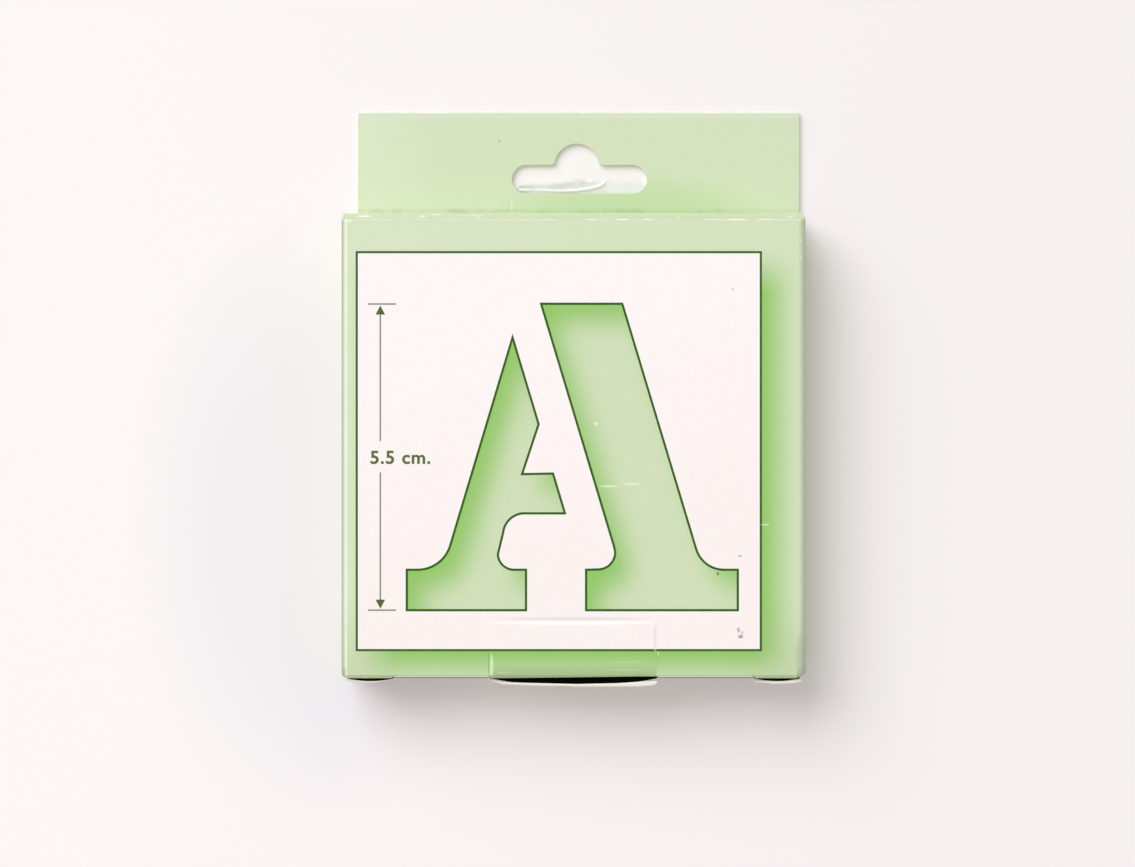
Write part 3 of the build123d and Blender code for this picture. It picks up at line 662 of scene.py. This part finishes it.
def outline_distance(points, segments):
    """Distance of each point from an outline of segments, negative inside it."""
    nearest = np.full(len(points), np.inf)
    crossings = np.zeros(len(points), int)
    x, y = points[:, 0], points[:, 1]
    for (ax, ay), (bx, by) in segments:
        run_x, run_y = bx - ax, by - ay
        length_squared = max(run_x * run_x + run_y * run_y, 1e-18)
        share = np.clip(((x - ax) * run_x + (y - ay) * run_y) / length_squared, 0, 1)
        nearest = np.minimum(nearest, np.hypot(x - ax - share * run_x, y - ay - share * run_y))
        if ay != by:
            meets = (ay > y) != (by > y)
            crossings += meets & (x < ax + (y - ay) * run_x / run_y)
    return np.where(crossings % 2 == 1, -nearest, nearest)


def carry_number(piece, name, values):
    """Stores one number at each point of a piece, for its material."""
    store = piece.data.attributes.new(name, "FLOAT", "POINT")
    store.data.foreach_set("value", np.asarray(values, np.float32))


def smooth_rise(values, none_at, all_at):
    """The smooth step that the materials use, for arrays."""
    share = np.clip((values - none_at) / (all_at - none_at), 0, 1)
    return share * share * (3 - 2 * share)


def front_height(x, y):
    """Top of the front board, which waves a little and is pressed up by the tongue behind it."""
    imprint = bpy.context.scene.board_choices.imprint
    under = smooth_rise(np.abs(x), tongue_high.x + 0.25 * MM, tongue_high.x - 0.35 * MM)
    under *= smooth_rise(y, tongue_high.y + 0.3 * MM, tongue_high.y - 0.5 * MM)
    wave = np.sin(x / (23 * MM) + 1.0) * np.cos(y / (19 * MM) - 0.6)
    return front_high.z - SKIN - imprint * (1 - under) - 0.02 * MM * (1 + wave)


def inside_share(segments, points, blur):
    """How much of a soft disc round each point lies inside an outline of segments."""
    cells_in_blur = 8
    step, around = blur / cells_in_blur, 4 * blur
    corners = segments.reshape(-1, 2)
    low = corners.min(axis=0) - around
    columns, rows = np.ceil((corners.max(axis=0) + around - low) / step).astype(int)
    grid_x, grid_y = np.meshgrid(
        low[0] + step * np.arange(columns), low[1] + step * np.arange(rows))
    cells = np.column_stack((grid_x.ravel(), grid_y.ravel()))
    filled = (outline_distance(cells, segments) < 0).astype(float).reshape(rows, columns)
    reach = 3 * cells_in_blur
    weights = np.exp(-0.5 * (np.arange(-reach, reach + 1) / cells_in_blur) ** 2)
    weights /= weights.sum()
    for axis in (0, 1):
        filled = np.apply_along_axis(lambda line: np.convolve(line, weights, "same"), axis, filled)
    column, row = np.clip((points - low) / step, 0, np.array((columns, rows)) - 1.001).T
    left, bottom = column.astype(int), row.astype(int)
    right_part, top_part = column - left, row - bottom
    lower, upper = (filled[line, left] * (1 - right_part) + filled[line, left + 1] * right_part
                    for line in (bottom, bottom + 1))
    return lower * (1 - top_part) + upper * top_part


def closed_loops(segments):
    """The outline's closed loops of points, each in order."""
    grain = 0.001 * MM
    ends = {}
    for pair in np.round(segments / grain).astype(int).tolist():
        first, second = map(tuple, pair)
        if first != second:
            ends.setdefault(first, []).append(second)
            ends.setdefault(second, []).append(first)
    loops = []
    while ends:
        start = next(iter(ends))
        loop, point = [start], ends.pop(start)[0]
        while point != start:
            loop.append(point)
            point = next(p for p in ends.pop(point) if p != loop[-2])
        loops.append(np.array(loop) * grain)
    return loops


def widened(loop, amount):
    """A closed loop moved outwards with sharp corners, cut into short steps."""
    longest = 2 * MM
    following = np.roll(loop, -1, axis=0)
    before, after = loop - np.roll(loop, 1, axis=0), following - loop
    turning = np.sum(loop[:, 0] * following[:, 1] - following[:, 0] * loop[:, 1])
    side = amount if turning > 0 else -amount
    normals = [np.column_stack((run[:, 1], -run[:, 0])) / np.linalg.norm(run, axis=1)[:, None]
               for run in (before, after)]
    spread = normals[0] + normals[1]
    moved = loop + side * spread / (1 + np.sum(normals[0] * normals[1], axis=1))[:, None]
    points = []
    for start, end in zip(moved, np.roll(moved, -1, axis=0)):
        count = max(1, int(np.ceil(np.linalg.norm(end - start) / longest)))
        points += [start + (end - start) * step / count for step in range(count)]
    return points


class STENCILBOX_OT_sleeve(bpy.types.Operator):
    """Front board and both side boards in one piece, folded round rounded creases"""
    bl_idname = "stencilbox.sleeve"
    bl_label = "Sleeve"

    def execute(self, context):
        look = context.scene.board_choices
        choices = context.scene.print_choices
        flat_x, top_z = front_high.x, front_high.z - SKIN
        wide, high = 2 * flat_x, front_high.y - front_low.y
        middle = (0, (front_high.y + front_low.y) / 2, top_z)
        cells_x, cells_y = round(wide / look.cell), round(high / look.cell)
        piece = new_grid("sleeve_board", middle, wide, high, cells_x, cells_y)
        rest = 0.1 * MM  # short end steps keep the bends' shading off the flat side
        with edit_mode():
            for side, low, outer in ((-1, left_low, left_low.x), (1, right_low, right_high.x)):
                back_radius = 2 * board
                crease_z = top_z - (abs(outer) - flat_x)
                back_z = low.z + back_radius
                pick_rim(piece, lambda p: abs(p.x - side * flat_x) < 0.1 * look.cell)
                roll(8, 90 * side, (side * flat_x, 0, crease_z), (0, 1, 0))
                draw_out((0, 0, -rest))
                draw_out((0, 0, back_z - crease_z + 2 * rest), 8)
                draw_out((0, 0, -rest))
                roll(6, 90 * side, (outer - side * back_radius, 0, back_z), (0, 1, 0))
        face_outwards(piece, (0, 0, 1))
        self.shape(piece)
        segments = letter_cut()
        places = points_of(piece)[:, :2] - (choices.letter_x, choices.letter_y)
        shaded = places - (choices.shadow_right, -choices.shadow_down)
        carry_number(piece, "letter_distance", outline_distance(places, segments))
        carry_number(piece, "letter_shade", 1 - inside_share(segments, shaded, choices.shadow_blur))
        materials = (front_print(), plain_board("sleeve_inside"), cut_edge())
        give_thickness(piece, board - 2 * SKIN, materials, even=False)
        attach(piece, "carton")
        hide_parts("front_panel", "left_side_panel", "right_side_panel")
        return {"FINISHED"}

    def shape(self, piece):
        """Waves the front, rounds its bottom corners and keeps clear of the folds beside it."""
        points = points_of(piece)
        x, y, z = points.T
        front = smooth_rise(z, front_high.z - 0.35 * MM, front_high.z - 0.05 * MM)
        points[:, 2] = z - front * (front_high.z - SKIN - front_height(x, y))
        crease_z = front_high.z - 1.05 * MM
        upright = (z < crease_z) & (z > lid_low.z + 0.35 * MM)
        upright &= np.abs(x) > front_high.x + 0.9 * MM
        flap_fold = abs(flap_crease["pos_m"][1]) - board / 2 - 0.02 * MM
        points[upright, 1] = np.clip(y[upright], -flap_fold, flap_fold)
        lug_low, lug_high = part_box("right_lug")
        lug_zone = (np.abs(x) > lug_low.x - 0.2 * MM) & (np.abs(x) < lug_high.x + 0.2 * MM)
        lug_zone &= (front > 0) & (y < front_low.y + 0.2 * MM)
        points[lug_zone, 1] = front_low.y + 0.38 * MM
        # The edge over the tongue is bowed. Both rows are in millimetres.
        places, drawn_back = (-14.9, -11.4, 0.5, 11.9, 14.9), (0.02, 0.03, 0.17, 0.32, 0.3)
        bowed = np.interp(x / MM, places, drawn_back) * MM
        over_tongue = (np.abs(x) < tongue_high.x) & (front > 0) & (y < front_low.y + 0.1 * MM)
        points[over_tongue, 1] = front_low.y + bowed[over_tongue]
        corner = np.where(x < 0, 0.7 * MM, 1.7 * MM)
        past = np.clip(front_low.y + corner - y, 0, corner)
        limit = front_high.x + 0.95 * MM - (corner - np.sqrt(corner * corner - past * past))
        points[:, 0] = np.where(z > crease_z, np.clip(x, -limit, limit), x)
        put_points(piece, points)


class STENCILBOX_OT_letter_outline(bpy.types.Operator):
    """Printed line round the large letter"""
    bl_idname = "stencilbox.letter_outline"
    bl_label = "Letter outline"

    def execute(self, context):
        look = context.scene.print_choices
        lines = []
        for loop in closed_loops(letter_cut()):
            points = widened(loop, look.line_width / 2)
            bpy.ops.mesh.primitive_circle_add(vertices=len(points))
            lines.append(bpy.context.active_object)
            put_points(lines[-1], np.pad(points, ((0, 0), (0, 1))))
            with edit_mode():
                bpy.ops.mesh.select_all(action="SELECT")
                bpy.ops.mesh.edge_face_add()
                bpy.ops.mesh.inset(thickness=look.line_width, depth=0, use_even_offset=True)
                bpy.ops.mesh.delete(type="ONLY_FACE")
        piece, *others = lines
        bring_forward(piece)
        for line in others:
            line.select_set(True)
        bpy.ops.object.join()
        piece.name = "letter_outline"
        points = points_of(piece)
        points[:, :2] += (look.letter_x, look.letter_y)
        points[:, 2] = front_height(points[:, 0], points[:, 1]) + INK
        put_points(piece, points)
        face_outwards(piece, (0, 0, 1))
        paint = Paint("line_ink")
        blotches = paint.ramp(paint.cloud(0.6), 0.45, 0.75)
        colour = paint.tint(look.line_green, blotches * 0.35, "4d8a38")
        ink = paint.finish(colour, 0.5, paint.cloud(0.2), 0.005, specular=0.2)
        give_thickness(piece, INK, [ink] * 3)
        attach(piece, "carton")
        return {"FINISHED"}


class STENCILBOX_OT_lid(bpy.types.Operator):
    """Lid board, rolled over at its front edge"""
    bl_idname = "stencilbox.lid"
    bl_label = "Lid"

    def execute(self, context):
        top_z = lid_high.z - (lid_high.y - lid_low.y)
        wide, high = lid_high.x - lid_low.x, top_z - lid_low.z
        centre = (0, lid_high.y - SKIN, (top_z + lid_low.z) / 2)
        upright = (pi / 2, 0, 0)
        piece = new_grid("lid_board", centre, wide, high, round(wide / MM), 10, upright)
        with edit_mode():
            pick_rim(piece, lambda p: p.z > top_z - SKIN)
            roll(10, 90, (0, lid_low.y, top_z), (1, 0, 0))
        face_outwards(piece, (0, 1, 1))
        points = points_of(piece)
        x, y, z = points.T
        rolled = smooth_rise(z, top_z - 2 * MM, lid_high.z)
        wave = np.sin(x / (7 * MM)) * np.cos(x / (17 * MM) + 1.2)
        points[:, 1] = y - 0.05 * MM * rolled * (1 + wave)
        put_points(piece, points)
        paint = Paint("lid_print")
        colour = paint.tint(linear("cbdab2"), paint.beside(paint.x, 0, 45, -45), "d2dfbc")
        rim = paint.beside(paint.z, lid_high.z, -0.2, -0.02)
        upper = paint.beside(paint.z, lid_high.z, -0.9, -0.3)
        # Painted shade, darker towards the top of the roll
        colour = paint.tint(colour, upper * 0.4, "b4c59c")
        colour = paint.spots(colour, lid_marks, upper)
        worn = scuffs(paint, rim * 0.5, 1.8, 0.1 * paint.board_look.wear)
        rim_paint = bpy.data.materials.get("cut_edge") or cut_edge()
        materials = (coated(paint, colour, worn), plain_board("lid_inside"), rim_paint)
        give_thickness(piece, board - 2 * SKIN, materials)
        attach(piece, "lid")
        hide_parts("lid")
        return {"FINISHED"}


class STENCILBOX_OT_figures(bpy.types.Operator):
    """Printed figures that give the letter's height"""
    bl_idname = "stencilbox.figures"
    bl_label = "Figures"

    def execute(self, context):
        look = context.scene.print_choices
        bpy.ops.object.text_add()
        words = bpy.context.active_object
        words.name = "height_figures"
        words.data.body = "5.5 cm."
        words.data.size = look.text_high / 0.72  # figures are 0.72 of the type's size high
        words.data.space_character = 1.08
        words.data.offset = 0.075 * MM
        words.data.extrude = INK
        words.data.resolution_u = 6
        words.location = (-36.55 * MM, look.letter_y - look.text_high / 2, 0)
        bpy.ops.object.convert(target="MESH")
        words.scale = (1.06, 1, 1)
        bpy.ops.object.transform_apply()
        points = points_of(words)
        points[:, 2] += front_height(points[:, 0], points[:, 1])
        put_points(words, points)
        paint = Paint("figure_ink")
        colour = paint.tint(look.mark_green, paint.cloud(0.5) * 0.3, "6d7d3e")
        paint_piece(words, paint.finish(colour, 0.5, paint.cloud(0.2), 0.005))
        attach(words, "carton")
        return {"FINISHED"}


class STENCILBOX_OT_header(bpy.types.Operator):
    """Print of the header's two layers, and the punched tab that hangs in its slot"""
    bl_idname = "stencilbox.header"
    bl_label = "Header"

    def execute(self, context):
        nodes = frame["nodes"]
        paint_piece(nodes["header_front_layer"], header_material())
        paint_piece(nodes["outer_back_panel"], two_sided("back_print", (0, 0, -1)))
        left, right, slot_bottom = -10.4, 13.3, 46.27
        tab = new_grid("slot_tab", (0, 0, 0), 1, 1, 150, 24)
        points = points_of(tab)
        x = left + (right - left) * (points[:, 0] + 0.5)
        share = points[:, 1] + 0.5
        # Along X in millimetres: the folded tab's far edge, its ridge, the strength of the painted
        # highlight on that ridge, and the painted grey shade of the tab
        far = np.interp(x, (-10.4, -9.8, -5.2, -2.5, 0.3, 3.0, 5.0, 12.2, 13.3),
                        (47.3, 48.1, 48.2, 48.5, 49.1, 49.0, 48.8, 48.7, 48.0))
        ridge = np.interp(x, (-10.4, -9.8, -5.2, -2.5, 0.3, 3.0, 4.9, 5.7, 6.2),
                          (46.95, 46.92, 46.88, 46.74, 46.83, 47.2, 47.7, 48.2, 48.7))
        bright = np.interp(x, (-10.2, -9.8, -8.6, -7.4, -5.2, -2.5, 0.3, 4.9, 5.7, 6.1),
                           (0, 1, 0.9, 0.25, 0.6, 0.75, 1, 0.95, 0.6, 0))
        grey = np.interp(x, (-10, -7, -5, -2.5, 0.3, 3, 4.9, 7, 12.6),
                         (0.12, 0.4, 0.4, 0.3, 0.42, 0.45, 0.5, 0.64, 0.6))
        y = slot_bottom + (far - slot_bottom) * share
        # The tab's tone is painted light: a highlight on the ridge, a glint, darker shade at a
        # crease and grey shade in the slot, paler towards the far edge
        crest = bright * np.exp(-((y - ridge) / 0.26) ** 2)
        sparkle = np.exp(-((x - 3.2) / 0.55) ** 2 - ((y - 48.65) / 0.3) ** 2)
        crease = 0.2 * np.exp(-((x - 1.6) / 0.35) ** 2 - ((y - 48.3) / 0.5) ** 2)
        rough = np.array([noise.noise(Vector((a / 1.1, b / 0.5, 0))) for a, b in zip(x, y)])
        tone = grey + 0.07 * rough + (0.74 - grey) * smooth_rise(share, 0.7, 1.0) - crease
        tone = tone + (1 - tone) * np.maximum(crest, sparkle)
        points[:, 0], points[:, 1] = x * MM, y * MM
        points[:, 2] = (0.14 + 0.34 * crest + 0.12 * sparkle + 0.05 * rough * share) * MM
        put_points(tab, points)
        carry_number(tab, "tone", tone)
        face_outwards(tab, (0, 0, 1))
        paint = Paint("tab_board")
        tinted = paint.beside(paint.y, slot_bottom * MM, 0.75, 0)
        colour = paint.tint(linear("bdbfb8"), paint.attribute("tone"), "ffffff")
        colour = paint.tint(colour, tinted * 0.5, "cfdab8")
        tab_board = paint.finish(colour, 0.45, paint.cloud(0.3), 0.01)
        give_thickness(tab, 0.06 * MM, [tab_board] * 3)
        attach(tab, "carton")
        return {"FINISHED"}


class STENCILBOX_OT_rims(bpy.types.Operator):
    """Thin bowed edges of the closing panel and the tongue, which show along the bottom"""
    bl_idname = "stencilbox.rims"
    bl_label = "Closing rims"

    def execute(self, context):
        # Places along X, the outer edge and the inner edge of each rim, in millimetres
        shapes = {
            "left_rim": ("closing_panel", (-40.8, -39, -36, -33.5, -32.6),
                         (-42.2, -42.6, -42.66, -42.3, -41.9),
                         (-41.9, -42.1, -42.25, -42.05, -41.8)),
            "tongue_rim": ("tongue", (-14.9, -12.6, -8, 0.5, 8, 12, 14.6, 15.0),
                           (-42.3, -42.95, -43.15, -43.35, -43.35, -43.3, -43.1, -42.7),
                           (-42.1, -42.5, -42.65, -42.86, -42.7, -42.42, -42.3, -42.35)),
            "right_rim": ("closing_panel", (32.4, 33.5, 34.8, 35.4, 36.2, 37.5, 40, 40.9),
                          (-42.45, -42.6, -42.7, -42.8, -42.85, -42.8, -42.7, -42.4),
                          (-42.35, -42.4, -42.4, -42.0, -42.1, -42.25, -42.2, -42.1)),
        }
        paint = Paint("rim_board")
        fibres = paint.cloud(0.25)
        colour = paint.tint(linear("f2f1e6"), paint.ramp(fibres, 0.35, 0.7) * 0.3, "dddacb")
        rim_board = paint.finish(colour, 0.8, fibres, 0.02)
        for name, (body, places, outer, inner) in shapes.items():
            left, wide = places[0] * MM, (places[-1] - places[0]) * MM
            cells = round(wide / (0.5 * MM))
            piece = new_grid(name, (left + wide / 2, 0, 0), wide, 1, cells, 6)
            points = points_of(piece)
            x, share = points[:, 0] / MM, points[:, 1] + 0.5
            outer_y, inner_y = np.interp(x, places, outer), np.interp(x, places, inner)
            points[:, 1] = (outer_y + (inner_y - outer_y) * share) * MM
            points[:, 2] = tongue_high.z + (0.06 + 0.12 * np.sin(pi * share)) * MM
            put_points(piece, points)
            face_outwards(piece, (0, 0, 1))
            give_thickness(piece, 0.12 * MM, [rim_board] * 3)
            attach(piece, body)
        return {"FINISHED"}


class STENCILBOX_OT_inner_boards(bpy.types.Operator):
    """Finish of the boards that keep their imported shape"""
    bl_idname = "stencilbox.inner_boards"
    bl_label = "Inner boards"

    def execute(self, context):
        nodes = frame["nodes"]
        paint_piece(nodes["back_inner_panel"], plain_board("back_inner_board"))
        paint_piece(nodes["tuck_flap"], two_sided("tuck_print", (0, 0, 1)))
        paint_piece(nodes["closing_panel"], plain_board("closing_board", tongue_high.z - 1 * MM))
        paint_piece(nodes["tongue"], plain_board("tongue_board", tongue_low.z + 0.6 * MM))
        fold_y = front_low.y + 0.32 * MM
        for side in ("left", "right"):
            name = f"{side}_lug"
            paint_piece(nodes[name], two_sided(f"{name}_print", (0, -0.8, 0.6), 0.2, fold_y))
        for end, way in (("top", 1), ("bottom", -1)):
            for side in ("left", "right"):
                name = f"{end}_{side}_flap"
                paint_piece(nodes[name], two_sided(f"{name}_print", (0, way, 0)))
        return {"FINISHED"}


class STENCILBOX_OT_cards(bpy.types.Operator):
    """Finish of the letter cards"""
    bl_idname = "stencilbox.cards"
    bl_label = "Letter cards"

    def execute(self, context):
        manila = card_material()
        for name in card_nodes:
            paint_piece(frame["nodes"][name], manila)
        return {"FINISHED"}


class STENCILBOX_OT_stage(bpy.types.Operator):
    """White table, soft light from the upper left and the camera above"""
    bl_idname = "stencilbox.stage"
    bl_label = "Table, light and camera"

    def execute(self, context):
        scene = context.scene
        look = scene.stage_choices
        bpy.ops.mesh.primitive_plane_add(size=6, location=(0, 0, -0.03 * MM))
        table = bpy.context.active_object
        table.name = "table_top"
        bpy.ops.object.transform_apply()
        paint = Paint("table_white")
        soft = paint.cloud(60, detail=2)
        colour = paint.tint(look.table_white, soft * 0.12, "efe9ec")
        # Painted light: the table is lighter towards the left, and table_shade adds painted shade
        # beside the carton
        colour = paint.mix(paint.beside(paint.x, 0, -100, 100) * 0.7, linear("faf5f5"), colour)
        colour = paint.spots(colour, table_shade)
        paint_piece(table, paint.finish(colour, 0.8, soft, 0.0))
        world = bpy.data.worlds.new("soft_sky")
        world.use_nodes = True
        sky = world.node_tree.nodes["Background"]
        sky.inputs["Color"].default_value = (*look.sky_tint, 1)
        sky.inputs["Strength"].default_value = look.sky_strength
        scene.world = world
        bpy.ops.object.light_add(type="SUN")
        lamp = bpy.context.active_object
        lamp.name = "window_lamp"
        lamp.data.energy = look.lamp_strength
        lamp.data.angle = look.lamp_angle
        lamp.data.color = (1.0, 1.0, 1.05)
        shines_along = Vector((0.7, -0.88, -1))
        lamp.rotation_euler = shines_along.to_track_quat("-Z", "Y").to_euler()
        bpy.ops.object.camera_add()
        camera = bpy.context.active_object
        camera.name = "photo_camera"
        camera.location = (look.camera_x, look.camera_y, front_high.z + look.camera_rise)
        camera.data.sensor_width = 36
        camera.data.lens = camera.data.sensor_width * look.camera_rise / look.view_width
        camera.data.clip_start = 0.01
        scene.camera = camera
        scene.view_settings.view_transform = "Standard"
        return {"FINISHED"}


operators = (
    STENCILBOX_OT_sleeve, STENCILBOX_OT_letter_outline, STENCILBOX_OT_lid, STENCILBOX_OT_figures,
    STENCILBOX_OT_header, STENCILBOX_OT_inner_boards, STENCILBOX_OT_rims, STENCILBOX_OT_cards,
    STENCILBOX_OT_stage,
)


class STENCILBOX_PT_panel(bpy.types.Panel):
    """Lists the pieces in the order in which they are made"""
    bl_idname = "STENCILBOX_PT_panel"
    bl_label = "Boxed stencils"
    bl_space_type = "VIEW_3D"
    bl_region_type = "UI"
    bl_category = "Stencils"

    def draw(self, context):
        for operator in operators:
            self.layout.operator(operator.bl_idname)
        for group in groups:
            choices = getattr(context.scene, group)
            box = self.layout.box()
            for name in choices.__annotations__:
                box.prop(choices, name)


groups = {
    "print_choices": PrintChoices,
    "board_choices": BoardChoices,
    "card_choices": CardChoices,
    "stage_choices": StageChoices,
}


def register():
    for group in groups.values():
        bpy.utils.register_class(group)
    for name, group in groups.items():
        setattr(bpy.types.Scene, name, bpy.props.PointerProperty(type=group))
    for made in (*operators, STENCILBOX_PT_panel):
        bpy.utils.register_class(made)


def unregister():
    for made in (STENCILBOX_PT_panel, *reversed(operators)):
        bpy.utils.unregister_class(made)
    for name, group in groups.items():
        delattr(bpy.types.Scene, name)
        bpy.utils.unregister_class(group)


def main():
    """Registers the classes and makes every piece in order."""
    register()
    for operator in operators:
        group, name = operator.bl_idname.split(".")
        getattr(getattr(bpy.ops, group), name)()


if __name__ == "__main__":
    main()
